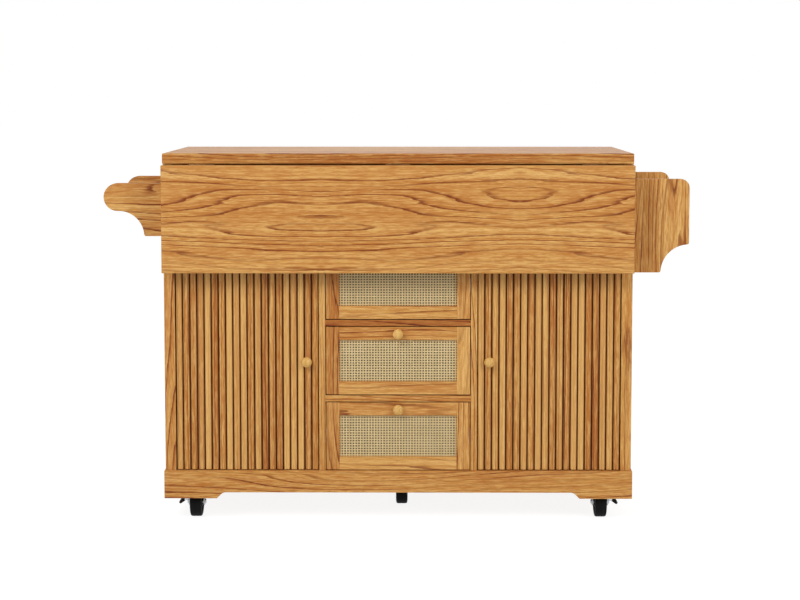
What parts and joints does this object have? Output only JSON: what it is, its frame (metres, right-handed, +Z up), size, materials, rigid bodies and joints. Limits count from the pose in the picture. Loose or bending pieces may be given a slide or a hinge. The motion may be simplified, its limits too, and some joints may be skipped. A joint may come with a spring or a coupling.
{
  "type": "kitchen cart",
  "caption": "Rolling oak kitchen cart with a hinged drop leaf on its front, slatted doors, cane-fronted drawers, a towel rail, a side rack and swivel casters.",
  "frame": {"origin": "middle of the footprint on the floor, with the leaf down", "axes": "+X to the cart's right seen from the front, +Y to its back, +Z up; the front faces -Y"},
  "size_m": [1.453, 0.49, 0.92],
  "materials": {
    "oak": "satin oiled",
    "pale_wood": "satin lacquered",
    "inner_wood": "matt",
    "cane": "matt woven",
    "steel": "zinc plated",
    "black_rubber": "satin",
    "black_plastic": "satin"
  },
  "bodies": {
    "cabinet": {"tabletop": "oak", "left_side_panel": "oak", "right_side_panel": "oak", "partitions": "oak", "face_frame": "oak", "front_header": "oak", "bottom_panel": "inner_wood", "back_panel": "inner_wood", "plinth_front": "oak", "plinth_back": "oak", "plinth_sides": "oak", "cabinet_shelves": "inner_wood", "shelf_supports": "oak", "drawer_channels": "steel", "door_pivot_pins": "steel", "leaf_hinge_plates": "steel", "stay_wall_plates": "steel", "caster_plates": "steel", "towel_brackets": "oak", "towel_bar": "oak", "rack_end_panels": "oak", "rack_shelf": "oak", "rack_rails": "oak", "knife_bars": "oak"},
    "leaf": {"drop_leaf": "oak", "leaf_fittings": "steel"},
    "left_lower_stay": {"left_lower_stay": "steel"},
    "left_upper_stay": {"left_upper_stay": "steel"},
    "left_door": {"left_door_panel": "oak", "left_door_slats": "oak", "left_door_knob": "pale_wood"},
    "right_lower_stay": {"right_lower_stay": "steel"},
    "right_upper_stay": {"right_upper_stay": "steel"},
    "right_door": {"right_door_panel": "oak", "right_door_slats": "oak", "right_door_knob": "pale_wood"},
    "bottom_drawer": {"bottom_drawer_front": "oak", "bottom_drawer_cane": "cane", "bottom_drawer_box": "inner_wood", "bottom_drawer_knob": "pale_wood"},
    "middle_drawer": {"middle_drawer_front": "oak", "middle_drawer_cane": "cane", "middle_drawer_box": "inner_wood", "middle_drawer_knob": "pale_wood"},
    "top_drawer": {"top_drawer_front": "oak", "top_drawer_cane": "cane", "top_drawer_box": "inner_wood", "top_drawer_knob": "pale_wood"},
    "front_left_fork": {"front_left_caster_fork": "steel"},
    "front_left_wheel": {"front_left_caster_wheel": "black_rubber"},
    "front_left_pedal": {"front_left_brake_pedal": "black_plastic"},
    "front_right_fork": {"front_right_caster_fork": "steel"},
    "front_right_wheel": {"front_right_caster_wheel": "black_rubber"},
    "front_right_pedal": {"front_right_brake_pedal": "black_plastic"},
    "back_left_fork": {"back_left_caster_fork": "steel"},
    "back_left_wheel": {"back_left_caster_wheel": "black_rubber"},
    "back_right_fork": {"back_right_caster_fork": "steel"},
    "back_right_wheel": {"back_right_caster_wheel": "black_rubber"},
    "middle_fork": {"middle_caster_fork": "steel"},
    "middle_wheel": {"middle_caster_wheel": "black_rubber"}
  },
  "joints": [
    {"name": "leaf_hinge", "type": "hinge", "parent": "cabinet", "child": "leaf", "pos_m": [0.0045, -0.217, 0.892], "axis": [-1, 0, 0], "range_deg": [0, 90]},
    {"name": "left_lower_stay_pivot", "type": "hinge", "parent": "cabinet", "child": "left_lower_stay", "pos_m": [-0.397, -0.195, 0.692], "axis": [1, 0, 0], "range_deg": [0, 45.46]},
    {"name": "left_upper_stay_pivot", "type": "hinge", "parent": "leaf", "child": "left_upper_stay", "pos_m": [-0.401, -0.212, 0.692], "axis": [-1, 0, 0], "range_deg": [0, 38.05]},
    {"name": "right_lower_stay_pivot", "type": "hinge", "parent": "cabinet", "child": "right_lower_stay", "pos_m": [0.406, -0.195, 0.692], "axis": [1, 0, 0], "range_deg": [0, 45.46]},
    {"name": "right_upper_stay_pivot", "type": "hinge", "parent": "leaf", "child": "right_upper_stay", "pos_m": [0.41, -0.212, 0.692], "axis": [-1, 0, 0], "range_deg": [0, 38.05]},
    {"name": "left_door_hinge", "type": "hinge", "parent": "cabinet", "child": "left_door", "pos_m": [-0.518, -0.175, 0.3775], "axis": [0, 0, -1], "range_deg": [0, 105]},
    {"name": "right_door_hinge", "type": "hinge", "parent": "cabinet", "child": "right_door", "pos_m": [0.527, -0.175, 0.3775], "axis": [0, 0, 1], "range_deg": [0, 105]},
    {"name": "bottom_drawer_slide", "type": "slide", "parent": "cabinet", "child": "bottom_drawer", "axis": [0, -1, 0], "range_m": [0, 0.3]},
    {"name": "middle_drawer_slide", "type": "slide", "parent": "cabinet", "child": "middle_drawer", "axis": [0, -1, 0], "range_m": [0, 0.3]},
    {"name": "top_drawer_slide", "type": "slide", "parent": "cabinet", "child": "top_drawer", "axis": [0, -1, 0], "range_m": [0, 0.3]},
    {"name": "front_left_caster_swivel", "type": "hinge", "parent": "cabinet", "child": "front_left_fork", "pos_m": [-0.5045, -0.117, 0.1007], "axis": [0, 0, 1], "continuous": true},
    {"name": "front_left_caster_roll", "type": "hinge", "parent": "front_left_fork", "child": "front_left_wheel", "pos_m": [-0.5045, -0.137, 0.0375], "axis": [1, 0, 0], "continuous": true},
    {"name": "front_left_pedal_hinge", "type": "hinge", "parent": "front_left_fork", "child": "front_left_pedal", "pos_m": [-0.5296, -0.137, 0.048], "axis": [0, -1, 0], "range_deg": [0, 20]},
    {"name": "front_right_caster_swivel", "type": "hinge", "parent": "cabinet", "child": "front_right_fork", "pos_m": [0.5135, -0.117, 0.1007], "axis": [0, 0, 1], "continuous": true},
    {"name": "front_right_caster_roll", "type": "hinge", "parent": "front_right_fork", "child": "front_right_wheel", "pos_m": [0.5135, -0.137, 0.0375], "axis": [1, 0, 0], "continuous": true},
    {"name": "front_right_pedal_hinge", "type": "hinge", "parent": "front_right_fork", "child": "front_right_pedal", "pos_m": [0.5386, -0.137, 0.048], "axis": [0, 1, 0], "range_deg": [0, 20]},
    {"name": "back_left_caster_swivel", "type": "hinge", "parent": "cabinet", "child": "back_left_fork", "pos_m": [-0.5045, 0.144, 0.1007], "axis": [0, 0, 1], "continuous": true},
    {"name": "back_left_caster_roll", "type": "hinge", "parent": "back_left_fork", "child": "back_left_wheel", "pos_m": [-0.5045, 0.164, 0.0375], "axis": [1, 0, 0], "continuous": true},
    {"name": "back_right_caster_swivel", "type": "hinge", "parent": "cabinet", "child": "back_right_fork", "pos_m": [0.5135, 0.144, 0.1007], "axis": [0, 0, 1], "continuous": true},
    {"name": "back_right_caster_roll", "type": "hinge", "parent": "back_right_fork", "child": "back_right_wheel", "pos_m": [0.5135, 0.164, 0.0375], "axis": [1, 0, 0], "continuous": true},
    {"name": "middle_caster_swivel", "type": "hinge", "parent": "cabinet", "child": "middle_fork", "pos_m": [0.0125, 0.015, 0.1007], "axis": [0, 0, 1], "continuous": true},
    {"name": "middle_caster_roll", "type": "hinge", "parent": "middle_fork", "child": "middle_wheel", "pos_m": [0.0125, -0.005, 0.0375], "axis": [1, 0, 0], "continuous": true}
  ],
  "couplings": [
    {"joint": "left_lower_stay_pivot", "follows": "leaf_hinge", "ratio": 0.50452},
    {"joint": "left_upper_stay_pivot", "follows": "leaf_hinge", "ratio": 0.42219},
    {"joint": "right_lower_stay_pivot", "follows": "leaf_hinge", "ratio": 0.50452},
    {"joint": "right_upper_stay_pivot", "follows": "leaf_hinge", "ratio": 0.42219},
    {"joint": "top_drawer_slide", "follows": "leaf_hinge", "m_per_rad": 0.19}
  ]
}
